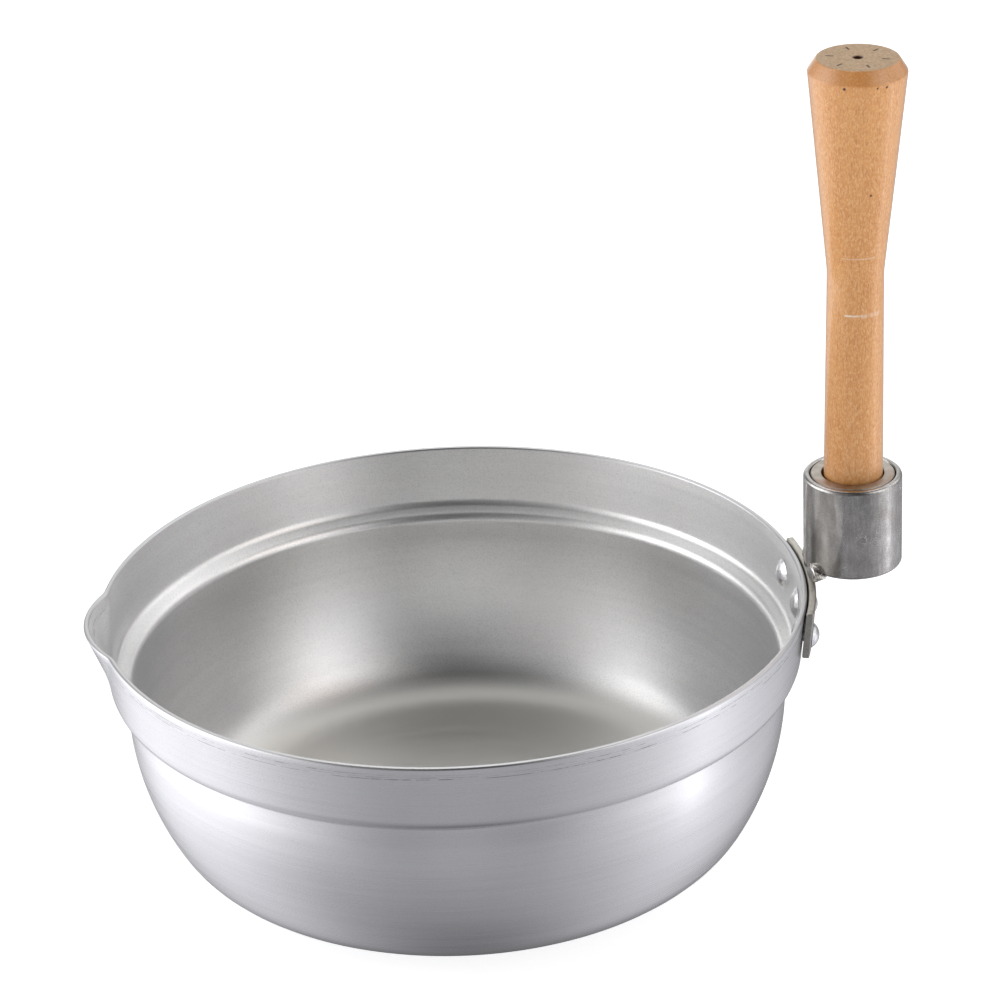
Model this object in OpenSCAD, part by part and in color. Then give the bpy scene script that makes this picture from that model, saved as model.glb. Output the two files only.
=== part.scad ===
// Pouring pot with an upright wooden handle.
// Millimetres. Origin at the centre of the flat base, +Z up, handle side on +X, pouring lip on -X.

/* [Bowl] */
// Outer diameter of the rim
rim_d = 200; // [180:1:240]
// Height from the flat base to the rim
bowl_h = 75; // [74:1:86]
// Thickness of the spun sheet
sheet = 1.6; // [1.4:0.1:2.2]
// Height of the flared band under the rim
band_h = 19.5; // [18:0.5:24]
// How much the band narrows from the rim to its lower edge, on the radius
band_flare = 1.9; // [1:0.1:3]
// Radius step of the ledge under the band
ledge_step = 4.7; // [4:0.1:6.5]
// Fall of the ledge across that step
ledge_fall = 2.2; // [1.5:0.1:4]
// Bulge of the lower wall beyond the neck, on the radius
belly_bulge = 0.3; // [0:0.1:2]
// Radius of the lower wall's upright curve
wall_curve_r = 72.5; // [68:0.5:78]
// Angle that this curve turns inwards
wall_turn = 29.5; // [27:0.5:32]
// Radius of the round between the wall and the flat base
base_round_r = 21.8; // [20:0.2:23]

/* [Pouring lip] */
// How far the lip reaches beyond the rim
lip_reach = 4.3; // [3:0.1:6]
// Width of the lip between its two creases
lip_w = 43; // [30:1:50]
// Height over which the lip blends into the band
lip_fall = 15; // [12:0.5:18]
// Turn of the lip about the bowl axis, away from the line opposite the handle
lip_turn = 2.5; // [-5:0.5:5]

/* [Bracket] */
// Angle that the bracket plate covers round the bowl
plate_angle = 28; // [26:1:34]
// Height of the bracket plate
plate_h = 14; // [12:0.5:18]
// Thickness of the bracket plate
plate_t = 2.1; // [1.8:0.1:3]
// Gap between the band and the plate
plate_gap = 0.5; // [0.3:0.1:0.8]
// Turn of the plate about the bowl axis, away from the handle's line
plate_turn = -1.5; // [-4:0.5:4]
// Angle from one rivet to the next
rivet_step = 11; // [9:0.5:11]
// Depth of the rivet row under the rim
rivet_depth = 9; // [8:0.5:9.5]
// Diameter of the rivet shanks
rivet_d = 4; // [3:0.1:4.5]
// Diameter of the rivet heads inside the bowl
inner_head_d = 9; // [7:0.5:9]
// Diameter of the rivet heads outside
outer_head_d = 7; // [6:0.5:8]

/* [Socket] */
// Distance of the handle axis from the bowl axis
handle_x = 114; // [114:0.5:120]
// Height of the socket's lower edge above the rim
socket_rise = 2.7; // [1:0.1:5]
// Outer diameter of the socket sleeve
sleeve_d = 27.8; // [26:0.2:28]
// Length of the socket sleeve
sleeve_h = 27.3; // [24:0.1:32]
// Wall of the socket sleeve
sleeve_wall = 1.8; // [1.5:0.1:2.2]
// Slit between the sleeve and the bush
slit = 0.25; // [0.1:0.05:0.4]
// Bore of the bush
bush_bore = 17.6; // [17.4:0.1:18]
// Depth of the hollow under the socket floor
floor_recess = 4.5; // [4.2:0.1:6]
// Thickness of the socket floor
floor_t = 3; // [2:0.5:4]

/* [Handle] */
// Height of the handle's top above the rim
handle_rise = 152.5; // [140:0.5:170]
// Diameter of the spigot in the socket
spigot_d = 16.6; // [16:0.1:16.8]
// Diameter at the waist
waist_d = 15.7; // [15:0.1:16.6]
// Height of the waist above the rim
waist_rise = 91; // [80:1:100]
// Largest diameter, just under the top
grip_d = 27.2; // [24:0.2:30]
// Diameter of the flat top
top_flat_d = 22.6; // [18:0.2:24]
// Height of the bevel round the top
top_bevel = 3.6; // [2:0.2:5]
// Outward lean of the handle in its socket, in degrees
handle_lean = 0.5; // [0:0.1:0.6]
// Diameter of the wood screw's shank
screw_d = 4; // [3.5:0.1:4.5]
// Length of the wood screw under its head
screw_l = 38; // [30:1:50]

/* [Hidden] */
$fn = 96;

rim_r = rim_d / 2;
band_low_r = rim_r - band_flare;
band_low_z = bowl_h - band_h;
neck_r = band_low_r - ledge_step;
neck_z = band_low_z - ledge_fall;
belly_r = neck_r + belly_bulge;
belly_z = base_round_r + (wall_curve_r - base_round_r) * sin(wall_turn);
base_r = belly_r - wall_curve_r + (wall_curve_r - base_round_r) * cos(wall_turn);
flare_angle = atan2(band_flare, band_h);
ledge_round = 4.4;
plate_in_r = rim_r + plate_gap;
plate_out_r = plate_in_r + plate_t;
sleeve_r = sleeve_d / 2;
sleeve_in_r = sleeve_r - sleeve_wall;
bush_r = sleeve_in_r - slit;
bore_r = bush_bore / 2;
socket_z = bowl_h + socket_rise;
socket_top_z = socket_z + sleeve_h;
floor_z = socket_z + floor_recess;
seat_z = floor_z + floor_t;
edge_round = 0.8;
screw_head_d = 8;
screw_head_h = 2.6;
washer_d = 12;
washer_t = 1;
hole_clear = 0.5;
seat_gap = 0.12;
eps = 0.01;
rivet_count = 3;
head_gap = 0.12;
inner_dome_h = 1.7;
outer_dome_h = 1.9;
drill_l = 8 * sheet;
neck_round = 1.2;
spigot_chamfer = 0.6;
centre_hole_d = 2.4;
centre_hole_l = 3;
drive_slot_l = 4.4;
drive_slot_w = 0.9;
drive_slot_h = 2.2;
screw_point_h = 5;
screw_tip_d = 0.6;
weld_angle = 12;
weld_reach = 5;
weld_rise = 3.5;
bush_weld_from = 20;
bush_weld_span = 110;
bush_weld_depth = 1.5;
cut = 1;

function unit(v) = v / norm(v);
function polar(c, r, a) = c + r * [cos(a), sin(a)];
function turn(a) = a > 180 ? a - 360 : a < -180 ? a + 360 : a;

// Points of a round of radius r at corner b, between the legs to a and c
function corner(a, b, c, r, n = 6) =
    let (
        u = unit(a - b),
        w = unit(c - b),
        half = acos(u * w) / 2,
        m = b + unit(u + w) * r / sin(half),
        p = b + u * r / tan(half) - m,
        q = b + w * r / tan(half) - m,
        start = atan2(p[1], p[0]),
        sweep = turn(atan2(q[1], q[0]) - start)
    )
    [for (i = [0:n]) polar(m, r, start + sweep * i / n)];

// Lower wall from the flat base up to its widest height: a tight round, then a long upright curve
function wall_curve(inset, n = 12) =
    let (
        tight = [base_r, base_round_r],
        long = [belly_r - wall_curve_r, belly_z]
    )
    concat(
        [for (i = [0:n]) polar(tight, base_round_r - inset, -90 + (90 - wall_turn) * i / n)],
        [for (i = [1:n]) polar(long, wall_curve_r - inset, -wall_turn + wall_turn * i / n)]
    );

// Half section of the bowl's skin, moved inwards by inset
function skin(inset) =
    let (
        neck = [neck_r - inset, neck_z + inset],
        shoulder = [band_low_r - inset, band_low_z + inset],
        rim = [rim_r - inset, bowl_h],
        widest = [belly_r - inset, belly_z]
    )
    concat(
        [[0, inset]],
        wall_curve(inset),
        corner(widest, neck, shoulder, neck_round + inset),
        corner(neck, shoulder, rim, ledge_round - inset),
        [rim]
    );

// Moves a child to the middle of the pouring lip, leaning outwards with it
lip_chord = sqrt(rim_r * rim_r - lip_w * lip_w / 4);
lip_sag = rim_r + lip_reach - lip_chord;
lip_r = (lip_w * lip_w / 4 + lip_sag * lip_sag) / (2 * lip_sag);
lip_lean = atan2(lip_reach + band_flare * lip_fall / band_h, lip_fall);

module lip_cylinder(inset) {
    rotate([0, 0, 180 + lip_turn])
        translate([rim_r + lip_reach - lip_r / cos(lip_lean), 0, bowl_h])
            rotate([0, lip_lean, 0])
                cylinder(r = lip_r - inset, h = 4 * lip_fall, center = true);
}

module rivet_place(i) {
    a = plate_turn + (i - (rivet_count - 1) / 2) * rivet_step;
    mid_r = rim_r - rivet_depth * tan(flare_angle);
    rotate([0, 0, a])
        translate([mid_r, 0, bowl_h - rivet_depth])
            rotate([0, 90 + flare_angle, 0])
                children();
}

// Low dome with a flat back on z = 0
module dome(d, h) {
    r = (d * d / 4 + h * h) / (2 * h);
    rotate_extrude()
        polygon(concat(
            [[0, 0]],
            [for (i = [0:12])
                let (a = asin(d / 2 / r) * (1 - i / 12))
                [r * sin(a), h - r + r * cos(a)]
            ]
        ));
}

module on_socket() {
    translate([handle_x, 0, 0])
        children();
}

// Handle axis: it leans a little in the play of the bore
module on_handle() {
    translate([handle_x, 0, seat_z + seat_gap])
        rotate([0, handle_lean, 0])
            children();
}

module bowl() {
    color([0.78, 0.78, 0.80])
        difference() {
            union() {
                rotate_extrude($fn = 180)
                    polygon(concat(skin(0), [[0, bowl_h]]));
                intersection() {
                    lip_cylinder(0);
                    translate([-rim_r - 2 * lip_reach, -lip_w, bowl_h - lip_fall])
                        cube([rim_r, 2 * lip_w, lip_fall]);
                }
            }
            rotate_extrude($fn = 180)
                polygon(concat(skin(sheet), [[rim_r - sheet, bowl_h + cut], [0, bowl_h + cut]]));
            intersection() {
                lip_cylinder(sheet);
                translate([-rim_r - 2 * lip_reach, -lip_w, bowl_h - lip_fall])
                    cube([rim_r, 2 * lip_w, 2 * lip_fall]);
            }
            for (i = [0:rivet_count - 1])
                rivet_place(i)
                    cylinder(d = rivet_d, h = drill_l, center = true);
        }
}

module bracket_plate() {
    lean = plate_h * tan(flare_angle);
    color([0.66, 0.65, 0.64])
        difference() {
            rotate([0, 0, plate_turn - plate_angle / 2])
                rotate_extrude(angle = plate_angle, $fn = 180)
                    polygon([
                        [plate_in_r, bowl_h],
                        [plate_out_r, bowl_h],
                        [plate_out_r - lean, bowl_h - plate_h],
                        [plate_in_r - lean, bowl_h - plate_h]
                    ]);
            for (i = [0:rivet_count - 1])
                rivet_place(i)
                    cylinder(d = rivet_d, h = drill_l, center = true);
        }
}

module rivet(i) {
    in_seat = sheet + head_gap;
    out_seat = plate_gap + plate_t + 2 * eps;
    color([0.84, 0.84, 0.85])
        rivet_place(i) {
            translate([0, 0, -in_seat - eps])
                cylinder(d = rivet_d, h = in_seat + out_seat + 2 * eps);
            translate([0, 0, out_seat])
                dome(outer_head_d, outer_dome_h);
            translate([0, 0, -in_seat])
                mirror([0, 0, 1])
                    dome(inner_head_d, inner_dome_h);
        }
}

// Fillet of weld metal between the plate's top edge and the foot of the sleeve
module bracket_weld() {
    color([0.80, 0.79, 0.77])
        difference() {
            rotate([0, 0, -weld_angle / 2])
                rotate_extrude(angle = weld_angle, $fn = 180)
                    polygon([
                        [plate_in_r, bowl_h],
                        [plate_out_r, bowl_h],
                        [plate_out_r + weld_reach, socket_z],
                        [plate_out_r, socket_z + weld_rise],
                        [plate_in_r, socket_z + weld_rise / 2]
                    ]);
            on_socket()
                translate([0, 0, socket_z])
                    cylinder(r = sleeve_r, h = sleeve_h);
        }
}

module socket_sleeve() {
    color([0.62, 0.62, 0.63])
        on_socket()
            rotate_extrude()
                polygon([
                    [sleeve_in_r, socket_z],
                    [sleeve_r - edge_round, socket_z],
                    [sleeve_r, socket_z + edge_round],
                    [sleeve_r, socket_top_z - edge_round],
                    [sleeve_r - edge_round, socket_top_z],
                    [sleeve_in_r, socket_top_z]
                ]);
}

module socket_bush() {
    color([0.68, 0.67, 0.66])
        on_socket()
            translate([0, 0, seat_z])
                difference() {
                    cylinder(r = bush_r, h = socket_top_z - seat_z);
                    translate([0, 0, -cut])
                        cylinder(r = bore_r, h = sleeve_h + 2 * cut);
                }
}

// Run of weld that closes the slit at the back of the socket's mouth
module bush_weld() {
    color([0.74, 0.73, 0.72])
        on_socket()
            rotate([0, 0, bush_weld_from])
                rotate_extrude(angle = bush_weld_span)
                    translate([bush_r, socket_top_z - bush_weld_depth])
                        square([slit, bush_weld_depth]);
}

module socket_floor() {
    color([0.62, 0.62, 0.63])
        on_socket()
            translate([0, 0, floor_z])
                difference() {
                    cylinder(r = sleeve_in_r, h = floor_t);
                    translate([0, 0, -cut])
                        cylinder(d = screw_d + hole_clear, h = floor_t + 2 * cut);
                }
}

module handle() {
    length = bowl_h + handle_rise - seat_z;
    mouth = socket_top_z - seat_z;
    waist = bowl_h + waist_rise - seat_z;
    color([0.85, 0.60, 0.36])
        on_handle()
            difference() {
                rotate_extrude()
                    polygon([
                        [0, 0],
                        [spigot_d / 2 - spigot_chamfer, 0],
                        [spigot_d / 2, spigot_chamfer],
                        [spigot_d / 2, mouth],
                        [waist_d / 2, waist],
                        [grip_d / 2, length - top_bevel],
                        [top_flat_d / 2, length],
                        [0, length]
                    ]);
                translate([0, 0, -cut])
                    cylinder(d = screw_d, h = screw_l);
                translate([0, 0, length - centre_hole_l])
                    cylinder(d = centre_hole_d, h = centre_hole_l + cut);
            }
}

module handle_screw() {
    neck = floor_t + washer_t + seat_gap;
    shank_l = screw_l - screw_point_h;
    color([0.70, 0.70, 0.72])
        on_handle()
            translate([0, 0, -neck]) {
                cylinder(d = screw_d, h = shank_l);
                translate([0, 0, shank_l])
                    cylinder(d1 = screw_d, d2 = screw_tip_d, h = screw_point_h);
                difference() {
                    translate([0, 0, eps])
                        mirror([0, 0, 1])
                            dome(screw_head_d, screw_head_h);
                    for (a = [0, 90])
                        rotate([0, 0, a])
                            translate([0, 0, -screw_head_h])
                                cube([drive_slot_l, drive_slot_w, drive_slot_h], center = true);
                }
            }
}

module screw_washer() {
    color([0.72, 0.72, 0.74])
        on_socket()
            translate([0, 0, floor_z - washer_t])
                difference() {
                    cylinder(d = washer_d, h = washer_t);
                    translate([0, 0, -cut])
                        cylinder(d = screw_d + hole_clear, h = washer_t + 2 * cut);
                }
}

bowl();
bracket_plate();
rivet(0);  // rivet_1
rivet(1);  // rivet_2
rivet(2);  // rivet_3
bracket_weld();
socket_sleeve();
socket_bush();
bush_weld();
socket_floor();
handle();
handle_screw();
screw_washer();
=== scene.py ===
import math

import bpy
import numpy as np
from mathutils import Matrix, Vector, noise


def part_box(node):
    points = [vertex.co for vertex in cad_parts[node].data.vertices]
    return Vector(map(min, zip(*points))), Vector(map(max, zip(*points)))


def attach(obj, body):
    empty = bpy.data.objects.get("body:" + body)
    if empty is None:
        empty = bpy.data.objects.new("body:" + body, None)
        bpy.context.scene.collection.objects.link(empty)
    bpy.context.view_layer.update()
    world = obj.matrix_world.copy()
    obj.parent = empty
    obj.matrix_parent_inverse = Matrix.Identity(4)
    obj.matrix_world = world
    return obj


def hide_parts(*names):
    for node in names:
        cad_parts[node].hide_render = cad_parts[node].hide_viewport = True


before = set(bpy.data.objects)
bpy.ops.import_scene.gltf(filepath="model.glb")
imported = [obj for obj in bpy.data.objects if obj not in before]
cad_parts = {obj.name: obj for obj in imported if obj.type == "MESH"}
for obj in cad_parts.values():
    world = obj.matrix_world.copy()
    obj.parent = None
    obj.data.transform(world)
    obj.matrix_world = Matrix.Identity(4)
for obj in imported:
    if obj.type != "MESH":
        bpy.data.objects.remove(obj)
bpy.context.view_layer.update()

# Without a seed of its own, noise_vector changes from one run to the next
noise.seed_set(5)

# ---------------------------------------------------------------- sizes, in metres, in the CAD frame

MM = 0.001
TURN = 2 * math.pi

_, bowl_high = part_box("bowl")
RIM_R = bowl_high.y - 0.01 * MM
RIM_Z = bowl_high.z
SHEET = 1.6 * MM
BAND_H = 19.5 * MM
BAND_FLARE = 1.9 * MM
LEDGE_STEP = 4.7 * MM
LEDGE_FALL = 2.2 * MM
LEDGE_ROUND = 4.4 * MM
NECK_ROUND = 1.2 * MM
BELLY_BULGE = 0.3 * MM
WALL_CURVE_R = 72.5 * MM
WALL_TURN = math.radians(29.5)
BASE_ROUND = 21.8 * MM
RIM_ROUND = 0.6 * MM

LIP_REACH = 4.3 * MM
LIP_W = 43.0 * MM
LIP_FALL = 15.0 * MM
LIP_DIRECTION = math.radians(182.5)
LIP_CREASE = 0.5 * MM

FLARE = math.atan2(BAND_FLARE, BAND_H)
BAND_LOW_R = RIM_R - BAND_FLARE
BAND_LOW_Z = RIM_Z - BAND_H
NECK_R = BAND_LOW_R - LEDGE_STEP
NECK_Z = BAND_LOW_Z - LEDGE_FALL
BELLY_R = NECK_R + BELLY_BULGE
BELLY_Z = BASE_ROUND + (WALL_CURVE_R - BASE_ROUND) * math.sin(WALL_TURN)
BASE_R = BELLY_R - WALL_CURVE_R + (WALL_CURVE_R - BASE_ROUND) * math.cos(WALL_TURN)

plate_low, plate_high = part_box("bracket_plate")
PLATE_H = plate_high.z - plate_low.z
PLATE_GAP = 0.5 * MM
PLATE_T = 2.1 * MM
PLATE_EDGE = 0.45 * MM
PLATE_ANGLE = math.radians(28)
PLATE_TURN = math.radians(-1.5)
RIVET_STEP = math.radians(11)
RIVET_DEPTH = 9.0 * MM
RIVET_SHANK_R = 2.0 * MM
INNER_HEAD_R = 4.5 * MM
INNER_DOME_H = 1.7 * MM
INNER_HEAD_GAP = 0.12 * MM
OUTER_HEAD_R = 3.5 * MM
OUTER_DOME_H = 1.9 * MM
OUTER_HEAD_GAP = 0.02 * MM

sleeve_low, sleeve_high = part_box("socket_sleeve")
bush_low, bush_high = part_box("socket_bush")
SOCKET_X = (sleeve_low.x + sleeve_high.x) / 2
SLEEVE_R = (sleeve_high.x - sleeve_low.x) / 2
SLEEVE_WALL = 1.8 * MM
SLEEVE_IN_R = SLEEVE_R - SLEEVE_WALL
SLEEVE_EDGE = 1.0 * MM
SLIT = 0.25 * MM
BORE_R = 8.8 * MM
BUSH_EDGE = 0.45 * MM
BUSH_WELD_START = math.radians(20)
BUSH_WELD_SPAN = math.radians(110)

SEAT_Z = bush_low.z
SEAT_GAP = 0.12 * MM
HANDLE_LEAN = math.radians(0.5)
HANDLE_RISE = 152.5 * MM
HANDLE_TOP_Z = RIM_Z + HANDLE_RISE
HANDLE_L = HANDLE_TOP_Z - SEAT_Z
HANDLE_TOP_X = SOCKET_X + HANDLE_L * math.sin(HANDLE_LEAN)
WAIST_RISE = 91.0 * MM
WAIST_Z = RIM_Z + WAIST_RISE - SEAT_Z
SPIGOT_R = 8.3 * MM
WAIST_R = 7.85 * MM
GRIP_R = 13.6 * MM
TOP_FLAT_R = 11.3 * MM
TOP_BEVEL = 3.6 * MM
BEVEL_Z = HANDLE_TOP_Z - TOP_BEVEL
CENTRE_HOLE_R = 1.2 * MM
CENTRE_HOLE_L = 3.0 * MM

# Notches that the lathe's drive centre left in the handle's top
NOTCH_COUNT = 6
NOTCH_TURN = 6.8
NOTCH_HALF = 0.42 * MM
NOTCH_NEAR_R = 6.6 * MM
NOTCH_FAR_R = 8.8 * MM

# ---------------------------------------------------------------- finishes


def rgb(r, g, b):
    """Linear colour from display values of 0 to 255."""

    def linear(c):
        c /= 255
        return c / 12.92 if c <= 0.04045 else ((c + 0.055) / 1.055) ** 2.4

    return (linear(r), linear(g), linear(b), 1.0)


METAL_LOW = rgb(241, 241, 244)
METAL_HIGH = rgb(247, 247, 250)
INSIDE_LOW = rgb(243, 243, 243)
INSIDE_HIGH = rgb(249, 249, 249)
METAL_LINE = rgb(222, 222, 225)
METAL_RIM = rgb(208, 208, 211)
# Painted shade: darker grey for the floor inside the bowl
INSIDE_FLOOR_SHADE = rgb(222, 221, 217)
METAL_SCUFF = rgb(84, 80, 82)
METAL_SPECK = rgb(70, 62, 50)
METAL_ROUGH = 0.27
INSIDE_ROUGH = 0.36
METAL_STRETCH = 0.5

RIVET_LOW = rgb(222, 222, 226)
RIVET_HIGH = rgb(240, 240, 243)
STRAP_LOW = rgb(164, 161, 156)
STRAP_HIGH = rgb(202, 199, 193)
STRAP_PIT = rgb(112, 106, 98)
# Painted highlight: paler tone for the strap's top edge
STRAP_TOP_HIGHLIGHT = rgb(222, 218, 206)
WELD_LOW = rgb(196, 193, 188)
WELD_HIGH = rgb(240, 239, 236)
WELD_STAIN = rgb(156, 144, 132)
SOCKET_LOW = rgb(182, 180, 179)
SOCKET_HIGH = rgb(214, 212, 211)
SOCKET_RUBBED = rgb(158, 153, 147)
SOCKET_GRAIN = rgb(136, 132, 130)
SOCKET_SCRATCH = rgb(246, 246, 248)
BUSH_LOW = rgb(158, 151, 143)
BUSH_HIGH = rgb(202, 197, 189)
BUSH_STAIN = rgb(170, 142, 126)
SCREW_LOW = rgb(176, 176, 178)
SCREW_HIGH = rgb(214, 214, 216)

# Scuffed lines round the band: depth under the rim, half width, strength
SCUFF_LINES = (
    (2.3 * MM, 0.10 * MM, 0.6),
    (3.0 * MM, 0.12 * MM, 0.75),
    (3.6 * MM, 0.14 * MM, 0.85),
)

WOOD_DEEP = rgb(216, 146, 78)
WOOD_MID = rgb(230, 162, 92)
WOOD_PALE = rgb(248, 204, 150)
WOOD_PORE = rgb(184, 108, 52)
WOOD_BEVEL = rgb(204, 130, 64)
# Dark of the nicks and notches, also used as painted shade in the centre hole
WOOD_DARK = rgb(84, 46, 26)
WOOD_SCRATCH = rgb(244, 232, 218)
WOOD_END_LOW = rgb(176, 143, 106)
WOOD_END_HIGH = rgb(214, 182, 144)

# Nicks in the handle: direction round it in degrees, distance under the bevel, size
HANDLE_NICKS = (
    (-77.0, 32.3 * MM, 0.45 * MM),
    (-114.0, 0.8 * MM, 0.55 * MM),
    (-76.0, 0.8 * MM, 0.35 * MM),
    (-64.0, 0.9 * MM, 0.5 * MM),
)

# Pale scratches round the handle: height over the rim, direction and reach in degrees,
# half width, strength
HANDLE_SCRATCHES = (
    (80.7 * MM, -106.0, 19.0, 0.35 * MM, 0.9),
    (80.5 * MM, -68.0, 24.0, 0.8 * MM, 0.4),
    (97.7 * MM, -96.0, 34.0, 0.25 * MM, 0.4),
)

# The studio floor: its colour, the light that it gives off by itself, and where it lies
FLOOR_LOW = rgb(228, 228, 228)
FLOOR_HIGH = rgb(230, 230, 230)
FLOOR_GLOW = 0.68
FLOOR_HALF_SIDE = 30.0
FLOOR_Z = -0.2 * MM

# ---------------------------------------------------------------- outlines: (radius, height) points


def arc(centre, radius, start, end, count):
    """Points of an arc, both ends included."""
    return [
        (centre[0] + radius * math.cos(a), centre[1] + radius * math.sin(a))
        for a in np.linspace(start, end, count + 1)
    ]


def corner(before, at, after, radius, count=6):
    """The round of that radius in place of the corner between two straight legs."""
    at = np.array(at, float)
    u = np.array(before, float) - at
    w = np.array(after, float) - at
    u /= np.linalg.norm(u)
    w /= np.linalg.norm(w)
    half = math.acos(float(u @ w)) / 2
    middle = at + (u + w) / np.linalg.norm(u + w) * radius / math.sin(half)
    first = at + u * radius / math.tan(half) - middle
    last = at + w * radius / math.tan(half) - middle
    start = math.atan2(first[1], first[0])
    sweep = math.atan2(last[1], last[0]) - start
    sweep = (sweep + math.pi) % TURN - math.pi
    return arc(middle, radius, start, start + sweep, count)


def rounded(points, radii, count=6):
    """An open outline whose inner corners are rounded, each by its own radius."""
    line = [tuple(points[0])]
    for i, radius in enumerate(radii, start=1):
        line += corner(points[i - 1], points[i], points[i + 1], radius, count)
    return line + [tuple(points[-1])]


def rounded_loop(points, radii, count=4):
    """A closed outline with every corner rounded."""
    loop = []
    for i, radius in enumerate(radii):
        after = points[(i + 1) % len(points)]
        loop += corner(points[i - 1], points[i], after, radius, count)
    return loop


def fine(points, step):
    """The same outline with no leg longer than step."""
    line = [points[0]]
    for a, b in zip(points, points[1:]):
        n = max(1, math.ceil(math.dist(a, b) / step))
        for k in range(1, n + 1):
            line.append((a[0] + (b[0] - a[0]) * k / n, a[1] + (b[1] - a[1]) * k / n))
    return line


# ---------------------------------------------------------------- meshes


def make_piece(name, points, faces, look, node):
    """A smooth-shaded piece on the root body, in place of a CAD node."""
    mesh = bpy.data.meshes.new(name)
    mesh.from_pydata([tuple(p) for p in points], [], faces)
    mesh.validate()
    mesh.polygons.foreach_set("use_smooth", [True] * len(mesh.polygons))
    mesh.materials.append(look)
    piece = bpy.data.objects.new(name, mesh)
    bpy.context.scene.collection.objects.link(piece)
    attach(piece, "root")
    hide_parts(node)
    return piece


def grid_faces(rows, columns, loop_rows=False):
    """Quads of a grid whose columns go right round, and whose rows may too."""
    faces = []
    for i in range(rows if loop_rows else rows - 1):
        below = i * columns
        above = (i + 1) % rows * columns
        for j in range(columns):
            k = (j + 1) % columns
            faces.append((below + j, below + k, above + k, above + j))
    return faces


def close_ends(points, rows, columns, first_end, last_end):
    """Adds an end point at each end of a grid and the triangles that close it."""
    faces = []
    for end, row, flip in ((first_end, 0, True), (last_end, rows - 1, False)):
        tip = len(points)
        points.append(end)
        for j in range(columns):
            a = row * columns + j
            b = row * columns + (j + 1) % columns
            faces.append((tip, b, a) if flip else (tip, a, b))
    return faces


def revolve(outline, angles, closed=False, bend=None):
    """Turns an outline round +Z. An open outline goes from the axis to the axis."""
    body = outline if closed else outline[1:-1]
    points = []
    for r, z in body:
        for a in angles:
            q = bend(r, z, a) if bend else r
            points.append(Vector((q * math.cos(a), q * math.sin(a), z)))
    faces = grid_faces(len(body), len(angles), closed)
    if not closed:
        ends = [Vector((0, 0, outline[0][1])), Vector((0, 0, outline[-1][1]))]
        faces += close_ends(points, len(body), len(angles), *ends)
    return points, faces


def round_angles(count):
    """Evenly spaced angles right round."""
    return [TURN * k / count for k in range(count)]


def skin_sections(sections):
    """Skins a row of closed sections, each a list of points, and closes both ends."""
    points = [Vector(p) for section in sections for p in section]
    columns = len(sections[0])
    faces = grid_faces(len(sections), columns)
    ends = [sum((Vector(p) for p in s), Vector()) / columns for s in (sections[0], sections[-1])]
    return points, faces + close_ends(points, len(sections), columns, *ends)


def moved(points, place):
    """The points put in place by a matrix."""
    return [place @ p for p in points]


def lumpy(point, size, amount):
    """A point pushed about by smooth noise, as on run weld metal."""
    return Vector(point) + amount * noise.noise_vector(Vector(point) / size)


# ---------------------------------------------------------------- bowl


def skin(inset):
    """Half section of one face of the sheet, from the axis up to the rim."""
    tight = (BASE_R, BASE_ROUND)
    long = (BELLY_R - WALL_CURVE_R, BELLY_Z)
    widest = (BELLY_R - inset, BELLY_Z)
    neck = (NECK_R - inset, NECK_Z + inset)
    shoulder = (BAND_LOW_R - inset, BAND_LOW_Z + inset)
    rim = (RIM_R - inset, RIM_Z)
    line = [(0, inset)]
    line += arc(tight, BASE_ROUND - inset, -math.pi / 2, -WALL_TURN, 10)
    line += arc(long, WALL_CURVE_R - inset, -WALL_TURN, 0, 20)[1:]
    line += corner(widest, neck, shoulder, NECK_ROUND + inset, 10)
    return line + corner(neck, shoulder, rim, LEDGE_ROUND - inset, 10)


def bowl_outline():
    """Section of the whole sheet: up the outside, over the rim and down the inside."""
    outer_r = RIM_R - RIM_ROUND
    inner_r = RIM_R - SHEET + RIM_ROUND
    edge_z = RIM_Z - RIM_ROUND
    over = arc((outer_r, edge_z), RIM_ROUND, 0, math.pi / 2, 5)
    over += arc((inner_r, edge_z), RIM_ROUND, math.pi / 2, math.pi, 5)
    return fine(skin(0) + over + skin(SHEET)[::-1], 1.4 * MM)


LIP_CHORD = math.sqrt(RIM_R**2 - LIP_W**2 / 4)
LIP_SAG = RIM_R + LIP_REACH - LIP_CHORD
LIP_R = (LIP_W**2 / 4 + LIP_SAG**2) / (2 * LIP_SAG)
LIP_LEAN = math.atan2(LIP_REACH + BAND_FLARE * LIP_FALL / BAND_H, LIP_FALL)


def press_lip(r, z, angle):
    """Radius of a point of the bowl after the lip is pressed out of the band."""
    turn = (angle - LIP_DIRECTION + math.pi) % TURN - math.pi
    if z < BAND_LOW_Z + LEDGE_ROUND or abs(turn) > math.radians(30):
        return r
    along, across = math.cos(turn), math.sin(turn)
    wide = LIP_R / math.cos(LIP_LEAN)
    middle = RIM_R + LIP_REACH - wide - (RIM_Z - z) * math.tan(LIP_LEAN)
    p = (along / wide) ** 2 + (across / LIP_R) ** 2
    q = middle * along / wide**2
    inside = q * q - p * ((middle / wide) ** 2 - 1)
    if inside <= 0:
        return r
    wall = RIM_R - (RIM_Z - z) * math.tan(FLARE)
    beyond = (q + math.sqrt(inside)) / p - wall
    return r + (beyond + math.hypot(beyond, LIP_CREASE)) / 2


def bowl_angles(coarse=1.25, close=0.4, spread=24):
    """Angles round the bowl, closer together along the lip."""
    middle = math.degrees(LIP_DIRECTION)
    near = np.arange(-spread, spread, close)
    far = np.arange(spread, 360 - spread, coarse)
    return np.radians(np.concatenate([near, far]) + middle)


def build_bowl(look):
    """The whole spun sheet, with the lip pressed into its rim."""
    points, faces = revolve(bowl_outline(), bowl_angles(), bend=press_lip)
    make_piece("bowl_shell", points, faces, look, "bowl")


# ---------------------------------------------------------------- bracket


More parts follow.
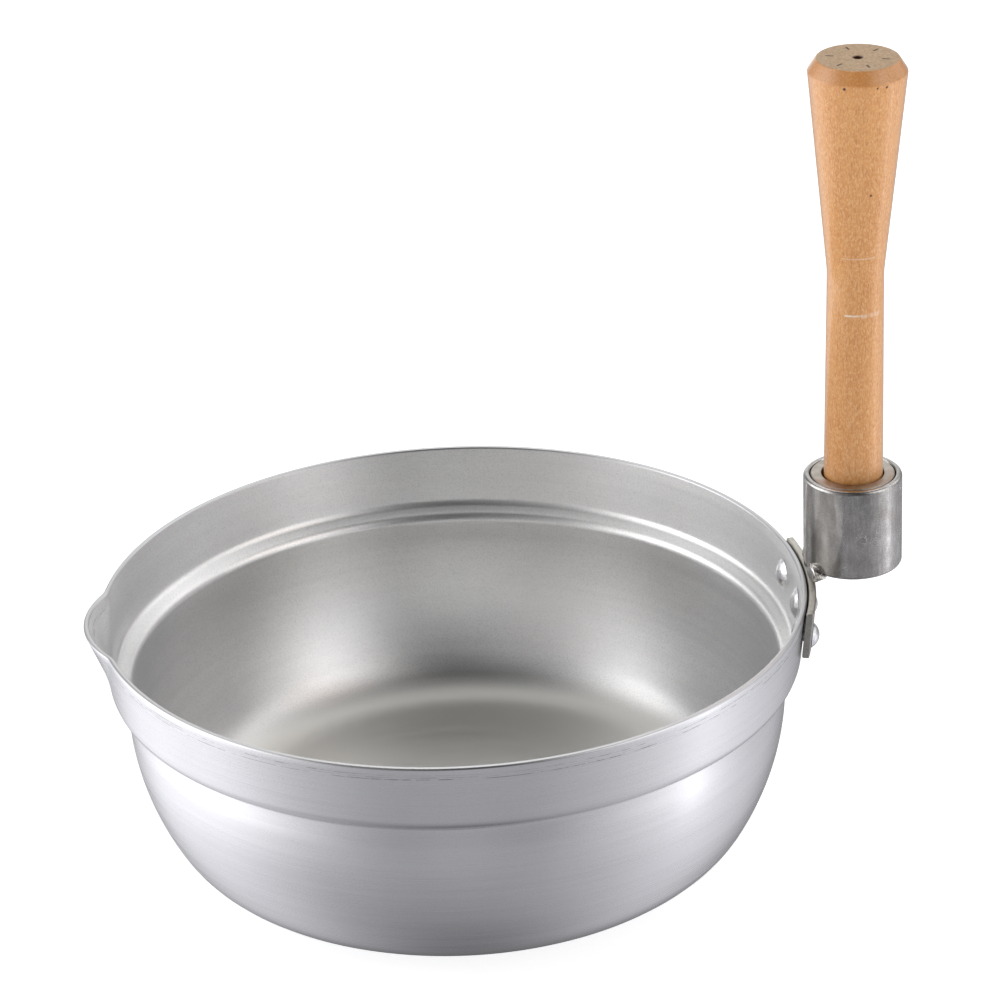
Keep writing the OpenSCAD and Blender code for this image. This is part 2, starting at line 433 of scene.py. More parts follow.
def build_plate(look):
    """Curved strap with rounded edges that follows the band."""
    lean = PLATE_H * math.tan(FLARE)
    inner = RIM_R + PLATE_GAP

    def section(inset, angle):
        low, high = plate_low.z + inset, plate_high.z - inset
        near, far = inner + inset, inner + PLATE_T - inset
        corners = [(near, high), (near - lean, low), (far - lean, low), (far, high)]
        loop = rounded_loop(corners, [PLATE_EDGE] * len(corners))
        return [(r * math.cos(angle), r * math.sin(angle), z) for r, z in loop]

    start = PLATE_TURN - PLATE_ANGLE / 2
    stop = PLATE_TURN + PLATE_ANGLE / 2
    ends = []
    for t in np.linspace(0, math.pi / 2, 5):
        ends.append((PLATE_EDGE * (1 - math.sin(t)), PLATE_EDGE * (1 - math.cos(t)) / inner))
    sections = [section(inset, start + step) for inset, step in ends]
    sections += [section(0, a) for a in np.linspace(start, stop, 60)[1:-1]]
    sections += [section(inset, stop - step) for inset, step in reversed(ends)]
    points, faces = skin_sections(sections)
    make_piece("bracket_strap", points, faces, look, "bracket_plate")


def dome(radius, height, count=12):
    """Low dome over z = 0 from its top to its edge, which is a little rounded."""
    ball = (radius**2 + height**2) / (2 * height)
    reach = math.asin(radius / ball)
    line = [(0, height)]
    for a in np.linspace(0, reach * 0.94, count)[1:]:
        line.append((ball * math.sin(a), height - ball + ball * math.cos(a)))
    r, z = line[-1]
    return line + [(r + (radius - r) * 0.8, z * 0.6), (radius, z * 0.2), (radius * 0.985, 0)]


def build_rivet(number, look):
    """Shank through the band and the plate, with a dome at each end."""
    angle = PLATE_TURN + (number - 2) * RIVET_STEP
    wall_r = RIM_R - RIVET_DEPTH * math.tan(FLARE)
    place = Matrix.Rotation(angle, 4, "Z")
    place @= Matrix.Translation((wall_r, 0, RIM_Z - RIVET_DEPTH))
    place @= Matrix.Rotation(math.pi / 2 + FLARE, 4, "Y")
    inner_seat = -SHEET - INNER_HEAD_GAP
    outer_seat = PLATE_GAP + PLATE_T + OUTER_HEAD_GAP
    outline = [(r, inner_seat - z) for r, z in dome(INNER_HEAD_R, INNER_DOME_H)]
    outline += [(RIVET_SHANK_R, inner_seat), (RIVET_SHANK_R, outer_seat)]
    outline += [(r, outer_seat + z) for r, z in dome(OUTER_HEAD_R, OUTER_DOME_H)[::-1]]
    points, faces = revolve(outline, round_angles(48))
    name = f"rivet_{number}"
    make_piece(name + "_solid", moved(points, place), faces, look, name)


def build_bracket_weld(look):
    """Fillet of weld metal between the plate's top edge and the foot of the sleeve."""
    weld_low, weld_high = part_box("bracket_weld")
    near = RIM_R + PLATE_GAP + 0.3 * MM
    far = RIM_R + PLATE_GAP + PLATE_T
    foot = sleeve_low.z
    corners = [
        (near, RIM_Z - 0.3 * MM),
        (far - 0.2 * MM, RIM_Z - 0.3 * MM),
        (far + 4.2 * MM, foot - 0.8 * MM),
        (far + 4.8 * MM, foot + 0.7 * MM),
        (SOCKET_X - SLEEVE_R + 0.9 * MM, foot + 3.2 * MM),
        (near + 0.2 * MM, foot + 1.6 * MM),
    ]
    loop = rounded_loop(corners, [0.7 * MM] * len(corners), 3)
    middle = np.mean(np.array(loop), axis=0)
    half = (weld_high.y - weld_low.y) / 2
    sections = []
    for t in np.linspace(-0.995, 0.995, 33):
        y = half * t
        width = (1 - abs(t) ** 2.8) ** 0.5
        section = []
        for r, z in loop:
            r = middle[0] + (r - middle[0]) * width
            z = middle[1] + (z - middle[1]) * width
            point = (math.sqrt(r * r - y * y), y, z)
            section.append(lumpy(point, size=2.2 * MM, amount=0.5 * MM))
        sections.append(section[::-1])
    points, faces = skin_sections(sections)
    make_piece("bracket_weld_bead", points, faces, look, "bracket_weld")


# ---------------------------------------------------------------- socket


def build_tube(name, inner, outer, low, high, edge, look, node):
    """A tube with rounded edges on the socket's axis."""
    corners = [(inner, low), (outer, low), (outer, high), (inner, high)]
    loop = rounded_loop(corners, [edge / 2, edge, edge, edge / 2], 6)
    points, faces = revolve(loop, round_angles(128), closed=True)
    place = Matrix.Translation((SOCKET_X, 0, 0))
    make_piece(name, moved(points, place), faces, look, node)


def build_bush_weld(look):
    """Run of weld that closes the slit at the back of the socket's mouth."""
    middle = SLEEVE_IN_R - SLIT / 2
    sections = []
    for t in np.linspace(0.01, 0.99, 60):
        a = BUSH_WELD_START + BUSH_WELD_SPAN * t
        swell = (1 - abs(2 * t - 1) ** 8) ** 0.5
        section = []
        for b in round_angles(12):
            r = middle + 0.75 * MM * swell * math.cos(b)
            z = sleeve_high.z - 0.36 * MM + 0.40 * MM * swell * math.sin(b)
            point = (SOCKET_X + r * math.cos(a), r * math.sin(a), z)
            section.append(lumpy(point, size=1.5 * MM, amount=0.1 * MM))
        sections.append(section)
    points, faces = skin_sections(sections)
    make_piece("bush_weld_bead", points, faces, look, "bush_weld")


# ---------------------------------------------------------------- handle


def handle_outline():
    """Turned outline: spigot, waist, flared grip and a bevelled top."""
    corners = [
        (0, 0),
        (SPIGOT_R, 0),
        (SPIGOT_R, bush_high.z - SEAT_Z),
        (WAIST_R, WAIST_Z),
        (GRIP_R, HANDLE_L - TOP_BEVEL),
        (TOP_FLAT_R, HANDLE_L),
        (CENTRE_HOLE_R, HANDLE_L),
        (CENTRE_HOLE_R, HANDLE_L - CENTRE_HOLE_L),
        (0, HANDLE_L - CENTRE_HOLE_L),
    ]
    radii = [0.6 * MM, 60 * MM, 30 * MM, 0.9 * MM, 0.5 * MM, 0.25 * MM, 0.2 * MM]
    return fine(rounded(corners, radii, 8), 2.0 * MM)


HANDLE_FOOT = Matrix.Translation((SOCKET_X, 0, SEAT_Z + SEAT_GAP))
HANDLE_PLACE = HANDLE_FOOT @ Matrix.Rotation(HANDLE_LEAN, 4, "Y")


def build_handle(look):
    """The turned handle, standing in its socket with a slight lean."""
    points, faces = revolve(handle_outline(), round_angles(128))
    points = moved(points, HANDLE_PLACE)
    make_piece("handle_turned", points, faces, look, "handle")


# ---------------------------------------------------------------- node helpers


class Nodes:
    """Short ways to add nodes to a tree."""

    def __init__(self, tree):
        self.tree = tree

    def add(self, kind, inputs=None, **settings):
        """Adds a node, sets its properties, and sets or links its inputs."""
        node = self.tree.nodes.new(kind)
        for key, value in settings.items():
            setattr(node, key, value)
        for key, value in (inputs or {}).items():
            self.feed(node.inputs[key], value)
        return node

    def feed(self, socket, value):
        if isinstance(value, bpy.types.NodeSocket):
            self.tree.links.new(value, socket)
        else:
            socket.default_value = value

    def calc(self, operation, a, b=0.0, c=0.0, clamp=False):
        node = self.add("ShaderNodeMath", operation=operation, use_clamp=clamp)
        for socket, value in zip(node.inputs, (a, b, c)):
            self.feed(socket, value)
        return node.outputs[0]

    def vector(self, x, y, z):
        return self.add("ShaderNodeCombineXYZ", {"X": x, "Y": y, "Z": z}).outputs[0]

    def noise(self, vector, scale, detail=2.0, roughness=0.5, distortion=0.0):
        inputs = {
            "Vector": vector,
            "Scale": scale,
            "Detail": detail,
            "Roughness": roughness,
            "Distortion": distortion,
        }
        return self.add("ShaderNodeTexNoise", inputs).outputs["Fac"]

    def span(self, value, low, high, to_low=0.0, to_high=1.0):
        """Maps low..high to to_low..to_high, clamped."""
        inputs = {0: value, 1: low, 2: high, 3: to_low, 4: to_high}
        return self.add("ShaderNodeMapRange", inputs, clamp=True).outputs[0]

    def mix(self, factor, a, b, blend="MIX"):
        node = self.add("ShaderNodeMix", data_type="RGBA", blend_type=blend)
        self.feed(node.inputs[0], factor)
        self.feed(node.inputs[6], a)
        self.feed(node.inputs[7], b)
        return node.outputs[2]

    def bump(self, height, strength, distance):
        inputs = {"Height": height, "Strength": strength, "Distance": distance}
        return self.add("ShaderNodeBump", inputs).outputs[0]


class Look(Nodes):
    """A material under construction."""

    def __init__(self, name):
        self.material = bpy.data.materials.new(name)
        self.material.use_nodes = True
        super().__init__(self.material.node_tree)
        self.shader = self.tree.nodes["Principled BSDF"]

    def set(self, **values):
        """Sets or links the shader's sockets, written with _ for each space."""
        for key, value in values.items():
            self.feed(self.shader.inputs[key.replace("_", " ")], value)

    def place(self):
        """Object coordinates, in metres, whole and split in three."""
        coords = self.add("ShaderNodeTexCoord").outputs["Object"]
        split = self.add("ShaderNodeSeparateXYZ", {0: coords})
        return coords, split.outputs[0], split.outputs[1], split.outputs[2]

    def polar(self, centre_x=0.0):
        """Distance from a vertical axis, angle about it in turns, and height."""
        _, x, y, z = self.place()
        x = self.calc("SUBTRACT", x, centre_x)
        squares = self.calc("ADD", self.calc("MULTIPLY", x, x), self.calc("MULTIPLY", y, y))
        radius = self.calc("SQRT", squares)
        angle = self.calc("DIVIDE", self.calc("ARCTAN2", y, x), TURN)
        return radius, angle, z


# ---------------------------------------------------------------- materials


def aluminium_look():
    """Spun aluminium: fine rings outside, frosted inside, scuffed lines under the rim."""
    look = Look("spun_aluminium")
    coords, _, _, _ = look.place()
    radius, angle, z = look.polar()
    inside = inside_mask(look, coords, radius)
    rings = look.noise(ring_place(look, radius, angle, z, 3000.0, 14.0), 1.0, 3.0, 0.65)
    bands = look.noise(ring_place(look, radius, angle, z, 500.0, 6.0), 1.0, 3.0, 0.55)
    frost = look.noise(coords, 2200.0, 2.0, 0.6)
    clouds = look.noise(coords, 28.0, 3.0, 0.55)
    low = look.mix(inside, METAL_LOW, INSIDE_LOW)
    high = look.mix(inside, METAL_HIGH, INSIDE_HIGH)
    tone = look.mix(look.span(bands, 0.3, 0.7), low, high)
    lined = look.span(rings, 0.28, 0.45, 0.35, 0.0)
    lined = look.calc("MULTIPLY", lined, look.span(inside, 0.0, 1.0, 1.0, 0.2))
    tone = look.mix(lined, tone, METAL_LINE)
    frosted = look.span(frost, 0.3, 0.55, 0.7, 0.0)
    frosted = look.calc("MULTIPLY", frosted, look.span(inside, 0.0, 1.0, 0.4, 1.0))
    tone = look.mix(frosted, tone, METAL_LINE)
    tone = look.mix(look.span(clouds, 0.35, 0.7, 0.0, 0.25), tone, METAL_LINE)
    # Painted shade: the floor inside the bowl, up to 8 mm over the base, is painted a darker grey.
    inside_floor_shade = look.calc("MULTIPLY", look.span(z, 3 * MM, 8 * MM, 1.0, 0.0), inside)
    tone = look.mix(inside_floor_shade, tone, INSIDE_FLOOR_SHADE)
    rim = look.span(z, RIM_Z - RIM_ROUND, RIM_Z - RIM_ROUND / 2)
    tone = look.mix(rim, tone, METAL_RIM)
    tone = look.mix(scuffed_lines(look, radius, angle, z), tone, METAL_SCUFF)
    tone = look.mix(floor_specks(look, coords, z), tone, METAL_SPECK)
    relief = look.calc("MULTIPLY", rings, look.span(inside, 0.0, 1.0, 0.8, 0.15))
    grain = look.calc("MULTIPLY_ADD", frost, look.span(inside, 0.0, 1.0, 0.3, 0.9), relief)
    rough = look.span(inside, 0.0, 1.0, METAL_ROUGH, INSIDE_ROUGH)
    look.set(
        Base_Color=tone,
        Metallic=1.0,
        Roughness=look.calc("ADD", rough, look.span(bands, 0.3, 0.7, -0.02, 0.03)),
        Anisotropic=METAL_STRETCH,
        Anisotropic_Rotation=0.25,
        Tangent=look.add("ShaderNodeTangent", direction_type="RADIAL", axis="Z").outputs[0],
        Normal=look.bump(grain, 0.2, 0.03 * MM),
    )
    return look.material


def ring_place(look, radius, angle, z, across, around):
    """Coordinates for a noise drawn out into rings round the bowl's axis."""
    swing = look.calc("ADD", angle, 0.5)
    return look.vector(
        look.calc("MULTIPLY", radius, across),
        look.calc("MULTIPLY", z, across),
        look.calc("MULTIPLY", swing, around),
    )


def inside_mask(look, coords, radius):
    """1 on the bowl's inner face and 0 on its outer face."""
    normal = look.add("ShaderNodeNewGeometry").outputs["Normal"]
    outwards = look.add(
        "ShaderNodeVectorMath", {0: coords, 1: (1.0, 1.0, 0.0)}, operation="MULTIPLY"
    )
    facing = look.add(
        "ShaderNodeVectorMath", {0: normal, 1: outwards.outputs[0]}, operation="DOT_PRODUCT"
    )
    facing = look.calc("DIVIDE", facing.outputs["Value"], look.calc("ADD", radius, 0.0001))
    up = look.add("ShaderNodeSeparateXYZ", {0: normal}).outputs[2]
    return look.span(look.calc("SUBTRACT", up, facing), -0.2, 0.2)


def scuffed_lines(look, radius, angle, z):
    """Broken dark dashes that run round the outside of the band, just under the rim."""
    wander = look.noise(look.vector(angle, 0.0, 0.0), 9.0, 2.0)
    depth = look.calc("SUBTRACT", RIM_Z, z)
    depth = look.calc("ADD", depth, look.span(wander, 0.3, 0.7, -0.3 * MM, 0.3 * MM))
    total = 0.0
    for middle, half, strength in SCUFF_LINES:
        off = look.calc("ABSOLUTE", look.calc("SUBTRACT", depth, middle))
        line = look.span(off, half * 0.5, half, strength, 0.0)
        dashes = look.noise(look.vector(angle, middle * 900, 4.0), 90.0, 3.0, 0.7)
        stretch = look.noise(look.vector(angle, middle * 500, 7.0), 5.0, 1.0)
        broken = look.span(dashes, 0.44, 0.56)
        broken = look.calc("MULTIPLY", broken, look.span(stretch, 0.38, 0.56))
        total = look.calc("MAXIMUM", total, look.calc("MULTIPLY", line, broken))
    outside = look.span(radius, RIM_R - 1.2 * MM, RIM_R - 0.8 * MM)
    return look.calc("MULTIPLY", total, outside)


def floor_specks(look, coords, z):
    """A few dark specks on the floor inside the bowl."""
    cells = look.add("ShaderNodeTexVoronoi", {"Vector": coords, "Scale": 75.0}).outputs["Distance"]
    size = look.noise(coords, 40.0, 1.0)
    dots = look.calc("LESS_THAN", cells, look.span(size, 0.55, 0.75, 0.0, 0.035))
    return look.calc("MULTIPLY", dots, look.span(z, 4 * MM, 12 * MM, 1.0, 0.0))


def rivet_look():
    """Bright headed aluminium with small dents."""
    look = Look("rivet_aluminium")
    coords, _, _, _ = look.place()
    dents = look.noise(coords, 650.0, 3.0, 0.55)
    frost = look.noise(coords, 4000.0, 2.0)
    tone = look.mix(look.span(dents, 0.35, 0.65), RIVET_LOW, RIVET_HIGH)
    look.set(
        Base_Color=tone,
        Metallic=1.0,
        Roughness=look.span(frost, 0.3, 0.7, 0.20, 0.30),
        Normal=look.bump(dents, 0.4, 0.4 * MM),
    )
    return look.material


def dull_steel_look():
    """Sheared steel strap: grey, with small pits and a painted highlight along its top edge."""
    look = Look("dull_steel")
    coords, _, _, z = look.place()
    mottle = look.noise(coords, 420.0, 4.0, 0.6)
    pits = look.noise(coords, 1900.0, 3.0, 0.6)
    tone = look.mix(look.span(mottle, 0.3, 0.7), STRAP_LOW, STRAP_HIGH)
    tone = look.mix(look.span(pits, 0.32, 0.42, 0.5, 0.0), tone, STRAP_PIT)
    # Painted highlight: the top edge of the strap is painted paler.
    top = look.span(z, RIM_Z - 1.2 * MM, RIM_Z - 0.3 * MM)
    tone = look.mix(look.calc("MULTIPLY", top, 0.3), tone, STRAP_TOP_HIGHLIGHT)
    look.set(
        Base_Color=tone,
        Metallic=1.0,
        Roughness=look.span(mottle, 0.3, 0.7, 0.34, 0.5),
        Normal=look.bump(pits, 0.4, 0.1 * MM),
    )
    return look.material


def weld_look():
    """Run weld metal: bright on its swellings, dull and brownish in its folds."""
    look = Look("weld_metal")
    coords, _, _, _ = look.place()
    ripples = look.noise(coords, 900.0, 3.0, 0.55)
    stain = look.noise(coords, 260.0, 2.0)
    tone = look.mix(look.span(ripples, 0.35, 0.65), WELD_LOW, WELD_HIGH)
    tone = look.mix(look.span(stain, 0.5, 0.75, 0.0, 0.4), tone, WELD_STAIN)
    look.set(
        Base_Color=tone,
        Metallic=1.0,
        Roughness=look.span(ripples, 0.3, 0.7, 0.16, 0.3),
        Normal=look.bump(ripples, 0.5, 0.3 * MM),
    )
    return look.material


def socket_look():
    """Drawn steel tube: fine upright streaks, rubbed patches and a few pale scratches."""
    look = Look("socket_steel")
    coords, _, _, _ = look.place()
    _, angle, z = look.polar(SOCKET_X)
    streak_place = look.vector(
        look.calc("MULTIPLY", angle, 90.0), look.calc("MULTIPLY", z, 220.0), 0.0
    )
    streaks = look.noise(streak_place, 1.0, 4.0, 0.6)
    rubbed = look.noise(coords, 190.0, 4.0, 0.6)
    frost = look.noise(coords, 3200.0, 2.0)
    tone = look.mix(look.span(streaks, 0.3, 0.7), SOCKET_LOW, SOCKET_HIGH)
    tone = look.mix(look.span(rubbed, 0.42, 0.66, 0.0, 0.5), tone, SOCKET_RUBBED)
    tone = look.mix(look.span(frost, 0.35, 0.6, 0.4, 0.0), tone, SOCKET_GRAIN)
    scratches = squiggles(look, coords, 330.0, 0.008)
    tone = look.mix(scratches, tone, SOCKET_SCRATCH)
    rough = look.span(rubbed, 0.3, 0.7, 0.15, 0.25)
    height = look.calc("MULTIPLY", streaks, 0.6)
    height = look.calc("MULTIPLY_ADD", frost, 0.4, height)
    look.set(
        Base_Color=tone,
        Metallic=1.0,
        Roughness=look.calc("ADD", rough, look.calc("MULTIPLY", scratches, 0.2)),
        Normal=look.bump(height, 0.45, 0.06 * MM),
    )
    return look.material


def squiggles(look, coords, scale, width):
    """Thin wandering lines in a few small patches, like scratches."""
    paths = look.noise(coords, scale, 2.0, 0.6, 0.8)
    line = look.calc("ABSOLUTE", look.calc("SUBTRACT", paths, 0.5))
    patch = look.noise(coords, 120.0, 1.0)
    thin = look.span(line, width * 0.4, width, 1.0, 0.0)
    return look.calc("MULTIPLY", thin, look.span(patch, 0.6, 0.66))


def bush_look():
    """Turned steel ring: fine circles, with brown heat stains in places."""
    look = Look("bush_steel")
    coords, _, _, _ = look.place()
    radius, angle, _ = look.polar(SOCKET_X)
    circle_place = look.vector(look.calc("MULTIPLY", radius, 2500.0), angle, 0.0)
    circles = look.noise(circle_place, 1.0, 2.0)
    mottle = look.noise(coords, 380.0, 4.0, 0.65)
    tone = look.mix(look.span(mottle, 0.3, 0.7), BUSH_LOW, BUSH_HIGH)
    stain = look.noise(coords, 110.0, 2.0)
    tone = look.mix(look.span(stain, 0.42, 0.62, 0.0, 0.6), tone, BUSH_STAIN)
    look.set(
        Base_Color=tone,
        Metallic=1.0,
        Roughness=look.span(mottle, 0.3, 0.7, 0.34, 0.5),
        Normal=look.bump(circles, 0.3, 0.06 * MM),
    )
    return look.material


def screw_look():
    """Plated steel of the hidden screw and its washer."""
    look = Look("screw_steel")
    coords, _, _, _ = look.place()
    mottle = look.noise(coords, 700.0, 3.0)
    tone = look.mix(look.span(mottle, 0.3, 0.7), SCREW_LOW, SCREW_HIGH)
    look.set(
        Base_Color=tone,
        Metallic=1.0,
        Roughness=look.span(mottle, 0.3, 0.7, 0.24, 0.36),
        Normal=look.bump(mottle, 0.2, 0.1 * MM),
    )
    return look.material


def wood_look():
    """Varnished beech: flecks along the grain, soft figure, bare end grain on the top."""
    look = Look("varnished_wood")
    coords, _, _, z = look.place()
    radius, angle, _ = look.polar(HANDLE_TOP_X)
    flecks = look.noise(stretched(look, coords, 2400.0, 1100.0), 1.0, 3.0, 0.75)
    pores = look.noise(stretched(look, coords, 3000.0, 330.0), 1.0, 2.0, 0.6)
    figure = look.noise(stretched(look, coords, 150.0, 11.0), 1.0, 3.0, 0.5)
    tone = look.mix(look.span(figure, 0.3, 0.7), WOOD_DEEP, WOOD_MID)
    tone = look.mix(look.span(flecks, 0.46, 0.66, 0.0, 0.65), tone, WOOD_PALE)
    tone = look.mix(look.span(pores, 0.32, 0.46, 0.5, 0.0), tone, WOOD_PORE)
    bevel = look.span(z, BEVEL_Z - 0.6 * MM, BEVEL_Z + 0.4 * MM)
    tone = look.mix(look.calc("MULTIPLY", bevel, 0.4), tone, WOOD_BEVEL)
    tone = look.mix(handle_scratches(look, angle, z), tone, WOOD_SCRATCH)
    marks = handle_marks(look, coords)
    tone = look.mix(marks, tone, WOOD_DARK)
    top = top_mask(look)
    end_grain = look.noise(stretched(look, coords, 1500.0, 200.0), 1.0, 3.0, 0.6)
    end_tone = look.mix(look.span(end_grain, 0.3, 0.7), WOOD_END_LOW, WOOD_END_HIGH)
    notch = drive_notches(look, radius, angle)
    end_tone = look.mix(notch, end_tone, WOOD_DARK)
    tone = look.mix(top, tone, end_tone)
    # Painted shade: the centre hole and a thin ring round its mouth are painted dark.
    centre_hole_shade = look.span(radius, CENTRE_HOLE_R, CENTRE_HOLE_R + 0.6 * MM, 1.0, 0.0)
    centre_hole_shade = look.calc("MULTIPLY", centre_hole_shade, look.span(z, BEVEL_Z - 8 * MM, BEVEL_Z))
    tone = look.mix(centre_hole_shade, tone, WOOD_DARK)
    height = look.calc("MULTIPLY", flecks, 0.4)
    height = look.calc("MULTIPLY_ADD", marks, -3.0, height)
    height = look.calc("MULTIPLY_ADD", look.calc("MULTIPLY", notch, top), -4.0, height)
    look.set(
        Base_Color=tone,
        Roughness=look.span(top, 0.0, 1.0, 0.42, 0.6),
        Coat_Weight=look.span(top, 0.0, 1.0, 1.0, 0.15),
        Coat_Roughness=0.1,
        Normal=look.bump(height, 0.35, 0.06 * MM),
    )
    return look.material


def stretched(look, coords, across, along):
    """Coordinates for a noise that is finer across the handle than along it."""
    inputs = {"Vector": coords, "Scale": (across, across, along)}
    return look.add("ShaderNodeMapping", inputs).outputs[0]


def top_mask(look):
    """1 where the surface faces straight up."""
    normal = look.add("ShaderNodeNewGeometry").outputs["Normal"]
    up = look.add("ShaderNodeSeparateXYZ", {0: normal}).outputs[2]
    return look.span(up, 0.93, 0.97)


def drive_notches(look, radius, angle):
    """Six short radial notches that the lathe's drive centre left in the top."""
    sector = look.calc("FRACT", look.calc("MULTIPLY_ADD", angle, NOTCH_COUNT, NOTCH_TURN))
    off = look.calc("ABSOLUTE", look.calc("SUBTRACT", sector, 0.5))
    across = look.calc("MULTIPLY", off, look.calc("MULTIPLY", radius, TURN / NOTCH_COUNT))
    thin = look.span(across, NOTCH_HALF / 2, NOTCH_HALF, 1.0, 0.0)
    start = look.span(radius, NOTCH_NEAR_R - 0.2 * MM, NOTCH_NEAR_R + 0.2 * MM)
    stop = look.span(radius, NOTCH_FAR_R - 0.2 * MM, NOTCH_FAR_R + 0.2 * MM, 1.0, 0.0)
    return look.calc("MULTIPLY", thin, look.calc("MULTIPLY", start, stop))


def handle_marks(look, coords):
    """Small dark nicks: one knot in the grip and three dents under the bevel."""
    marks = 0.0
    taper = (GRIP_R - WAIST_R) / (HANDLE_L - TOP_BEVEL - WAIST_Z)
    for turn_deg, below, size in HANDLE_NICKS:
        a = math.radians(turn_deg)
        reach = GRIP_R - below * taper
        middle = (reach * math.cos(a), reach * math.sin(a), HANDLE_L - TOP_BEVEL - below)
        middle = HANDLE_PLACE @ Vector(middle)
        gap = look.add("ShaderNodeVectorMath", {0: coords, 1: middle}, operation="DISTANCE")
        spot = look.span(gap.outputs["Value"], size * 0.5, size, 1.0, 0.0)
        marks = look.calc("MAXIMUM", marks, spot)
    return marks


def handle_scratches(look, angle, z):
    """Pale scuffs that run part of the way round the handle."""
    breaks = look.noise(look.vector(angle, z, 0.0), 60.0, 3.0, 0.7)
    total = 0.0
    for height, middle_deg, reach_deg, half, strength in HANDLE_SCRATCHES:
        off = look.calc("ABSOLUTE", look.calc("SUBTRACT", z, RIM_Z + height))
        line = look.span(off, half * 0.4, half, strength, 0.0)
        away = look.calc("ABSOLUTE", look.calc("SUBTRACT", angle, middle_deg / 360))
        part = look.span(away, reach_deg / 400, reach_deg / 360, 1.0, 0.0)
        total = look.calc("MAXIMUM", total, look.calc("MULTIPLY", line, part))
    return look.calc("MULTIPLY", total, look.span(breaks, 0.36, 0.54, 0.25, 1.0))


def floor_look():
    """Pale studio paper, bright enough to run into the backdrop, and clear from below."""
    look = Look("studio_floor")
    coords, _, _, _ = look.place()
    tone = look.mix(look.noise(coords, 30.0), FLOOR_LOW, FLOOR_HIGH)
    below = look.add("ShaderNodeNewGeometry").outputs["Backfacing"]
    look.set(
        Base_Color=tone,
        Roughness=0.9,
        Emission_Color=(1.0, 1.0, 1.0, 1.0),
        Emission_Strength=FLOOR_GLOW,
        Alpha=look.calc("SUBTRACT", 1.0, below),
    )
    return look.material


# ---------------------------------------------------------------- camera, light and floor

# Lens in millimetres, distance from the middle of the rim, and angles in radians
CAM_LENS = 143.27
CAM_DISTANCE = 1125.287 * MM
CAM_ELEVATION = 0.47054
CAM_AZIMUTH = math.radians(-92.5)
CAM_PAN = 0.01304
CAM_TILT = 0.0231
CAM_ROLL = 0.04135


def camera_axes():
    """Position of the camera and its right, up and forward directions."""
    level = Vector((math.cos(CAM_AZIMUTH), math.sin(CAM_AZIMUTH), 0))
    away = level * math.cos(CAM_ELEVATION) + Vector((0, 0, math.sin(CAM_ELEVATION)))
    eye = Vector((0, 0, RIM_Z)) + away * CAM_DISTANCE
    right = Vector((-level.y, level.x, 0))
    up = right.cross(-away)
    forward = (-away + right * CAM_PAN + up * CAM_TILT).normalized()
    right = forward.cross(Vector((0, 0, 1))).normalized()
    up = right.cross(forward)
    turn = Matrix.Rotation(CAM_ROLL, 3, forward)
    return eye, turn @ right, turn @ up, forward


def build_camera():
    """Camera of the main picture."""
    eye, right, up, forward = camera_axes()
    data = bpy.data.cameras.new("camera")
    data.lens = CAM_LENS
    data.sensor_width = 36.0
    data.clip_start = 0.01
    data.clip_end = 100.0
    camera = bpy.data.objects.new("camera", data)
    pose = Matrix((right, up, -forward)).transposed().to_4x4()
    pose.translation = eye
    camera.matrix_world = pose
    bpy.context.scene.collection.objects.link(camera)
    bpy.context.scene.camera = camera


# Soft lights of the studio: (degrees round to the right of the camera, degrees up, brightness)
PAPER_LIGHTS = (
    (0, -60, 0.20),
    (60, -55, 0.28),
    (120, -55, 0.50),
    (-120, -55, 0.50),
    (-60, -55, 0.20),
    (0, -25, 0.38),
    (45, -25, 0.40),
    (90, -25, 0.85),
    (135, -25, 0.45),
    (-135, -25, 0.85),
    (-90, -25, 0.85),
    (-45, -25, 0.42),
)
BOX_LIGHTS = (
    (72, 3, 1.00),
    (-72, 3, 1.60),
    (-108, 3, 2.00),
    (60, 30, 1.65),
    (120, 30, 1.40),
    (-30, 30, 0.30),
    (-90, 30, 1.70),
)
BACK_LIGHTS = (
    (180, 3, 1.30),
    (180, 30, 0.20),
    (180, 60, 2.00),
)
STRIP_LIGHTS = (
    (86, -27, 0.90),
)
LIGHT_FOCUS = 12.0
STRIP_FOCUS = 260.0
PAPER_TINT = (0.965, 0.965, 1.0, 1.0)
BOX_TINT = (1.0, 0.99, 0.98, 1.0)
BACK_TINT = (1.0, 1.0, 0.985, 1.0)


def light_group(nodes, towards, lights, focus):
    """Summed brightness of some soft lights, seen along a direction."""
    glow = 0.0
    for degrees_round, degrees_up, brightness in lights:
        around = CAM_AZIMUTH + math.radians(degrees_round)
        rise = math.radians(degrees_up)
        level = math.cos(rise)
        middle = (level * math.cos(around), level * math.sin(around), math.sin(rise))
        match = nodes.add(
            "ShaderNodeVectorMath", {0: towards, 1: middle}, operation="DOT_PRODUCT"
        )
        lobe = nodes.calc("MAXIMUM", match.outputs["Value"], 0.0)
        lobe = nodes.calc("POWER", lobe, focus)
        glow = nodes.calc("MULTIPLY_ADD", lobe, brightness, glow)
    return glow


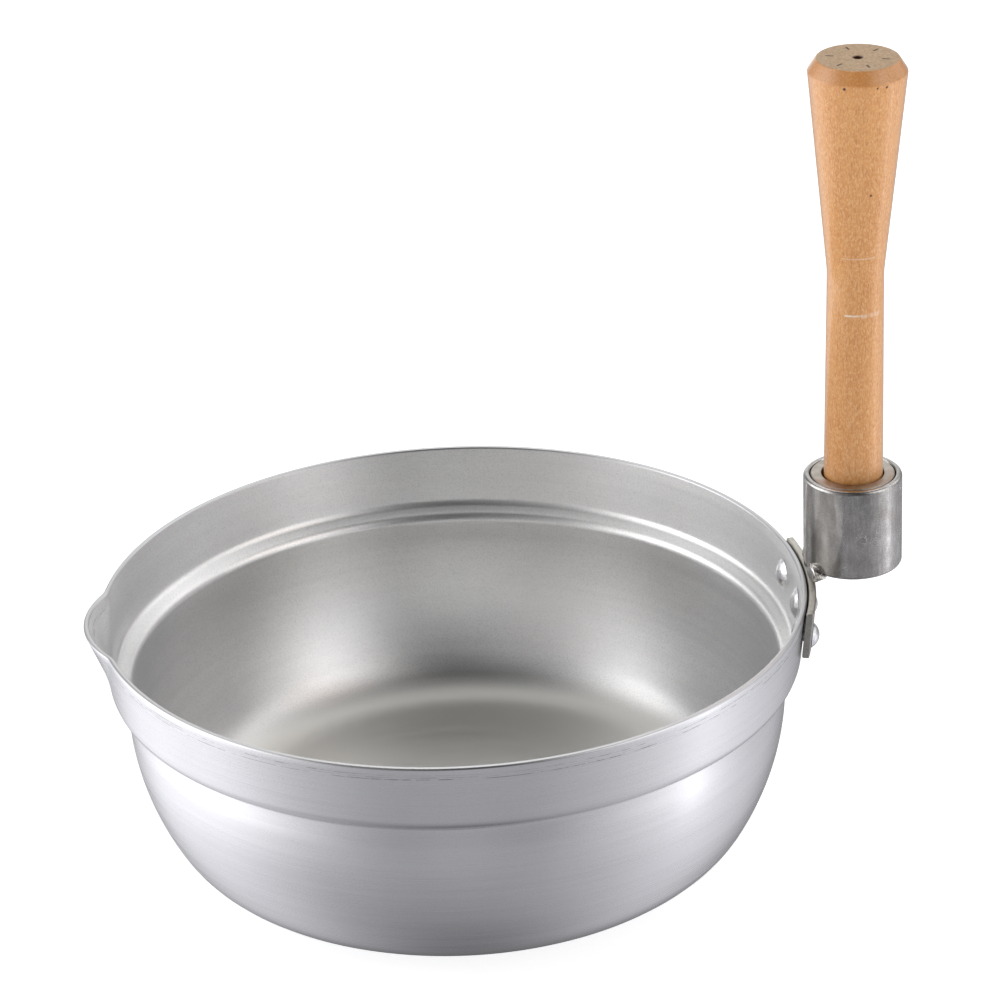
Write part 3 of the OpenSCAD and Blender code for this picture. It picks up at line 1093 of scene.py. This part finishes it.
def build_studio():
    """A studio of broad soft lights all round, dim on the camera's own side."""
    world = bpy.data.worlds.new("studio")
    world.use_nodes = True
    nodes = Nodes(world.node_tree)
    towards = nodes.add("ShaderNodeTexCoord").outputs["Generated"]
    output = world.node_tree.nodes["World Output"]
    total = None
    for lights, focus, tint in (
        (PAPER_LIGHTS, LIGHT_FOCUS, PAPER_TINT),
        (STRIP_LIGHTS, STRIP_FOCUS, PAPER_TINT),
        (BOX_LIGHTS, LIGHT_FOCUS, BOX_TINT),
        (BACK_LIGHTS, LIGHT_FOCUS, BACK_TINT),
    ):
        glow = light_group(nodes, towards, lights, focus)
        shade = nodes.add("ShaderNodeBackground", {"Color": tint, "Strength": glow}).outputs[0]
        if total:
            shade = nodes.add("ShaderNodeAddShader", {0: total, 1: shade}).outputs[0]
        total = shade
    nodes.feed(output.inputs["Surface"], total)
    bpy.context.scene.world = world
    bpy.context.scene.view_settings.view_transform = "Standard"


def build_floor():
    """Wide floor just under the pot, which takes its soft shadow but isn't mirrored in it."""
    side = FLOOR_HALF_SIDE
    corners = [(-side, -side), (side, -side), (side, side), (-side, side)]
    mesh = bpy.data.meshes.new("floor")
    mesh.from_pydata([(x, y, FLOOR_Z) for x, y in corners], [], [(0, 1, 2, 3)])
    mesh.materials.append(floor_look())
    floor = bpy.data.objects.new("floor", mesh)
    floor.visible_glossy = False
    bpy.context.scene.collection.objects.link(floor)


def dress_cad(node, look):
    """Gives a CAD node that stays in view a procedural material."""
    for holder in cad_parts[node].material_slots:
        holder.material = look


# ---------------------------------------------------------------- the object

build_camera()
build_studio()
build_floor()

aluminium = aluminium_look()
rivet_metal = rivet_look()
weld_metal = weld_look()
socket_steel = socket_look()
screw_steel = screw_look()

build_bowl(aluminium)
build_plate(dull_steel_look())
for rivet_number in (1, 2, 3):
    build_rivet(rivet_number, rivet_metal)
build_bracket_weld(weld_metal)
build_tube(
    "socket_tube", SLEEVE_IN_R, SLEEVE_R, sleeve_low.z, sleeve_high.z, SLEEVE_EDGE,
    socket_steel, "socket_sleeve",
)
build_tube(
    "socket_ring", BORE_R, SLEEVE_IN_R - SLIT, bush_low.z, bush_high.z, BUSH_EDGE,
    bush_look(), "socket_bush",
)
build_bush_weld(weld_metal)
build_handle(wood_look())
dress_cad("socket_floor", socket_steel)
dress_cad("handle_screw", screw_steel)
dress_cad("screw_washer", screw_steel)
